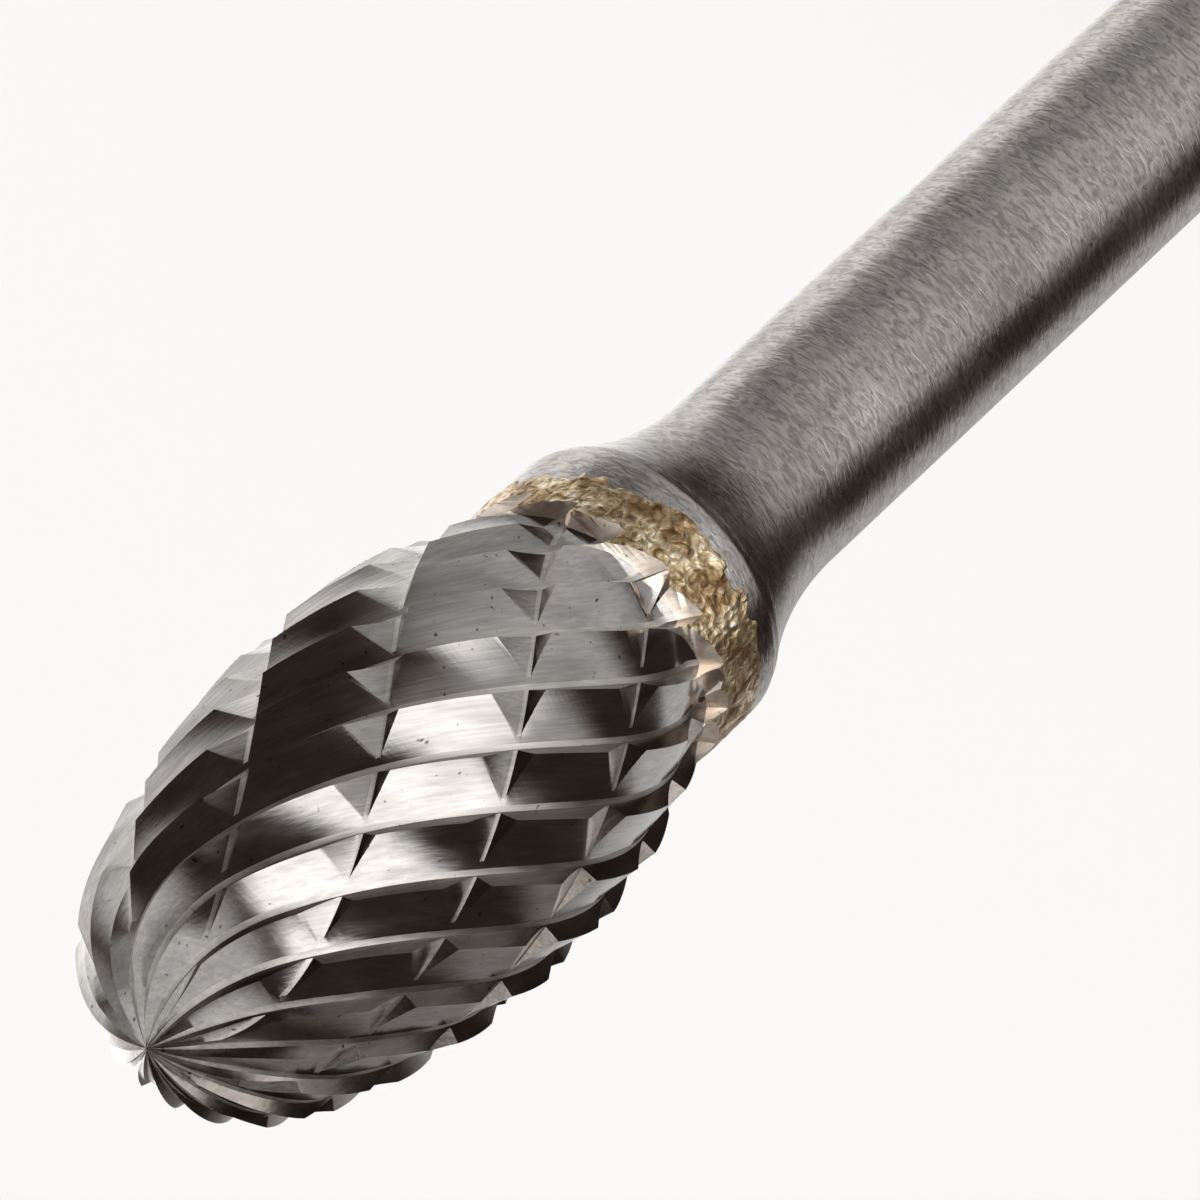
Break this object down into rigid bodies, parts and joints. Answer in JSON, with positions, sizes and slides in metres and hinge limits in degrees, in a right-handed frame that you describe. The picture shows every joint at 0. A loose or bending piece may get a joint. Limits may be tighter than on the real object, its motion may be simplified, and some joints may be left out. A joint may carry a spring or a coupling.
{
  "type": "rotary burr",
  "caption": "Oval rotary burr with double-cut carbide teeth, brazed on a flared steel shank for a collet.",
  "frame": {"origin": "centre of the flat end face of the shank, on the burr's axis", "axes": "+Z along the burr's axis, from the shank's end to the tip of the head; +X towards the root of one primary flute at the tip"},
  "size_m": [0.012, 0.012, 0.065],
  "materials": {
    "carbide": "ground tungsten carbide, dark and glossy",
    "braze": "rough golden brown braze",
    "shank_steel": "satin, with fine waves across the shank"
  },
  "bodies": {
    "root": {"carbide_head": "carbide", "braze_joint": "braze", "steel_shank": "shank_steel"}
  },
  "joints": []
}
